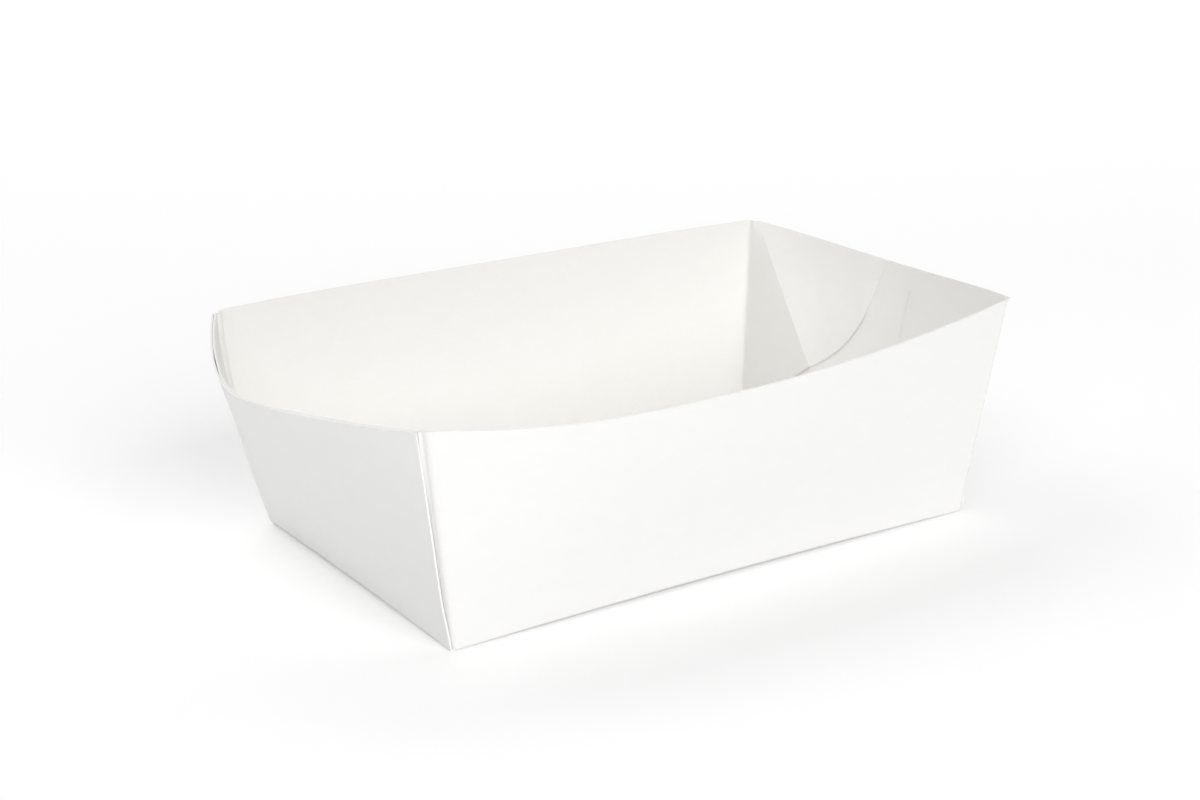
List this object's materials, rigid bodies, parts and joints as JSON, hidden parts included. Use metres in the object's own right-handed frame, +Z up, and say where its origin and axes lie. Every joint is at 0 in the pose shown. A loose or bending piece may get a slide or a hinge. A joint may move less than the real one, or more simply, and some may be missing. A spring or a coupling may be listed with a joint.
{
  "type": "paper fry tray",
  "caption": "Open rectangular serving tray folded from thin white card, with outward leaning walls that bow at the rim and corner flaps glued inside the end panels.",
  "frame": {"origin": "middle of the underside of the flat base, where the tray stands", "axes": "+X along the tray's length, +Y across it, +Z up out of the open mouth"},
  "size_m": [0.1728, 0.1178, 0.0513],
  "materials": {
    "card": "matte uncoated white board"
  },
  "bodies": {
    "root": {"tray": "card"}
  },
  "joints": []
}
